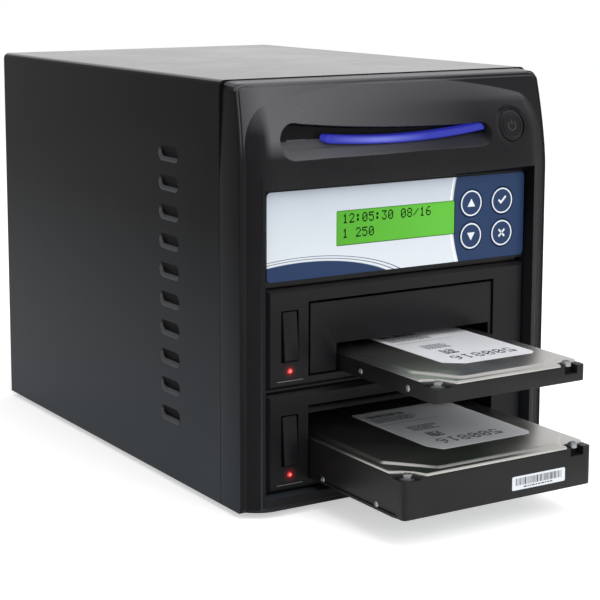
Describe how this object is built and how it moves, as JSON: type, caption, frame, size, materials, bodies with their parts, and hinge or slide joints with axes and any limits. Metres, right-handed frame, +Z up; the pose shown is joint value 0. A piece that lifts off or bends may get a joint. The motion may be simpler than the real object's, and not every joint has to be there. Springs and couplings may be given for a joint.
{
  "type": "hard drive duplicator",
  "caption": "Desktop tower that copies hard drives: display and keys over two bays with swing-in doors, each with a drive slid part way out.",
  "frame": {"origin": "on the surface that the feet stand on, under the middle of the whole object's box", "axes": "+Z up, -Y towards the user's side with the drives, +X to the user's right"},
  "size_m": [0.169, 0.3284, 0.1915],
  "materials": {
    "painted_steel": "satin black powder coat",
    "moulded_black": "fine grained black moulding",
    "bare_steel": "zinc plated sheet",
    "supply_case": "plain sheet",
    "lid_aluminium": "smooth stamped lid",
    "drive_casting": "black coated casting",
    "circuit_board": "green solder mask",
    "printed_film": "printed panel film",
    "key_blue": "dark blue keys with white rings",
    "display_green": "backlit green display",
    "light_blue": "blue light guide",
    "lamp_red": "red lamp",
    "rubber": "matt black",
    "cable_jacket": "red jacket"
  },
  "bodies": {
    "case": {"cover": "painted_steel", "rear_panel": "painted_steel", "base_tray": "bare_steel", "front_frame": "bare_steel", "front_bezel": "moulded_black", "light_bar": "light_blue", "light_board": "circuit_board", "button_spring": "bare_steel", "button_switch": "moulded_black", "lcd_fascia": "moulded_black", "lcd_overlay": "printed_film", "lcd_module": "display_green", "panel_board": "circuit_board", "rack_1_frame": "moulded_black", "rack_2_frame": "moulded_black", "rack_1_lamp": "lamp_red", "rack_2_lamp": "lamp_red", "rack_1_cage": "bare_steel", "rack_2_cage": "bare_steel", "rack_1_backplane": "circuit_board", "rack_2_backplane": "circuit_board", "rack_1_socket": "moulded_black", "rack_2_socket": "moulded_black", "bay_plate_left": "bare_steel", "bay_plate_right": "bare_steel", "board_tray": "bare_steel", "controller_board": "circuit_board", "power_supply": "supply_case", "power_inlet": "moulded_black", "fan_frame": "moulded_black", "fan_guard": "bare_steel", "foot_1": "rubber", "foot_2": "rubber", "foot_3": "rubber", "foot_4": "rubber", "cover_screw_1": "bare_steel", "cover_screw_2": "bare_steel", "cover_screw_3": "bare_steel", "cover_screw_4": "bare_steel", "data_cable_1": "cable_jacket", "data_cable_2": "cable_jacket", "supply_cable": "rubber"},
    "power_button": {"power_button": "moulded_black"},
    "key_up": {"key_up": "key_blue"},
    "key_enter": {"key_enter": "key_blue"},
    "key_down": {"key_down": "key_blue"},
    "key_back": {"key_back": "key_blue"},
    "lever_1": {"lever_1": "moulded_black"},
    "lever_2": {"lever_2": "moulded_black"},
    "flap_1": {"flap_1": "moulded_black"},
    "flap_2": {"flap_2": "moulded_black"},
    "drive_1": {"drive_1_base": "drive_casting", "drive_1_lid": "lid_aluminium", "drive_1_board": "circuit_board"},
    "drive_2": {"drive_2_base": "drive_casting", "drive_2_lid": "lid_aluminium", "drive_2_board": "circuit_board"},
    "mains_switch": {"mains_switch": "moulded_black"},
    "fan_rotor": {"fan_rotor": "moulded_black"}
  },
  "joints": [
    {"name": "power_button_press", "type": "slide", "parent": "case", "child": "power_button", "axis": [0, 1, 0], "range_m": [0, 0.002], "stiffness_N_per_m": 300, "springref_m": -0.002, "deforming": ["button_spring"]},
    {"name": "key_up_press", "type": "slide", "parent": "case", "child": "key_up", "axis": [0, 1, 0], "range_m": [0, 0.0005], "stiffness_N_per_m": 500, "springref_m": -0.0005},
    {"name": "key_enter_press", "type": "slide", "parent": "case", "child": "key_enter", "axis": [0, 1, 0], "range_m": [0, 0.0005], "stiffness_N_per_m": 500, "springref_m": -0.0005},
    {"name": "key_down_press", "type": "slide", "parent": "case", "child": "key_down", "axis": [0, 1, 0], "range_m": [0, 0.0005], "stiffness_N_per_m": 500, "springref_m": -0.0005},
    {"name": "key_back_press", "type": "slide", "parent": "case", "child": "key_back", "axis": [0, 1, 0], "range_m": [0, 0.0005], "stiffness_N_per_m": 500, "springref_m": -0.0005},
    {"name": "lever_1_pull", "type": "hinge", "parent": "case", "child": "lever_1", "pos_m": [0, -0.0911, 0.0891], "axis": [-1, 0, 0], "range_deg": [0, 45]},
    {"name": "lever_2_pull", "type": "hinge", "parent": "case", "child": "lever_2", "pos_m": [0, -0.0911, 0.0421], "axis": [-1, 0, 0], "range_deg": [0, 45]},
    {"name": "flap_1_swing", "type": "hinge", "parent": "case", "child": "flap_1", "pos_m": [0, -0.0903, 0.0913], "axis": [1, 0, 0], "range_deg": [0, 85], "stiffness_Nm_per_rad": 0.002, "springref_deg": -28.65},
    {"name": "flap_2_swing", "type": "hinge", "parent": "case", "child": "flap_2", "pos_m": [0, -0.0903, 0.0443], "axis": [1, 0, 0], "range_deg": [0, 13.5], "stiffness_Nm_per_rad": 0.002, "springref_deg": -28.65},
    {"name": "drive_1_slide", "type": "slide", "parent": "case", "child": "drive_1", "axis": [0, 1, 0], "range_m": [-0.018, 0.12]},
    {"name": "drive_2_slide", "type": "slide", "parent": "case", "child": "drive_2", "axis": [0, 1, 0], "range_m": [-0.06, 0.0745]},
    {"name": "mains_switch_tilt", "type": "hinge", "parent": "case", "child": "mains_switch", "pos_m": [-0.03, 0.1567, 0.1688], "axis": [1, 0, 0], "range_deg": [0, 18]},
    {"name": "fan_spin", "type": "hinge", "parent": "case", "child": "fan_rotor", "pos_m": [0, 0.14, 0.0665], "axis": [0, 1, 0], "continuous": true}
  ]
}
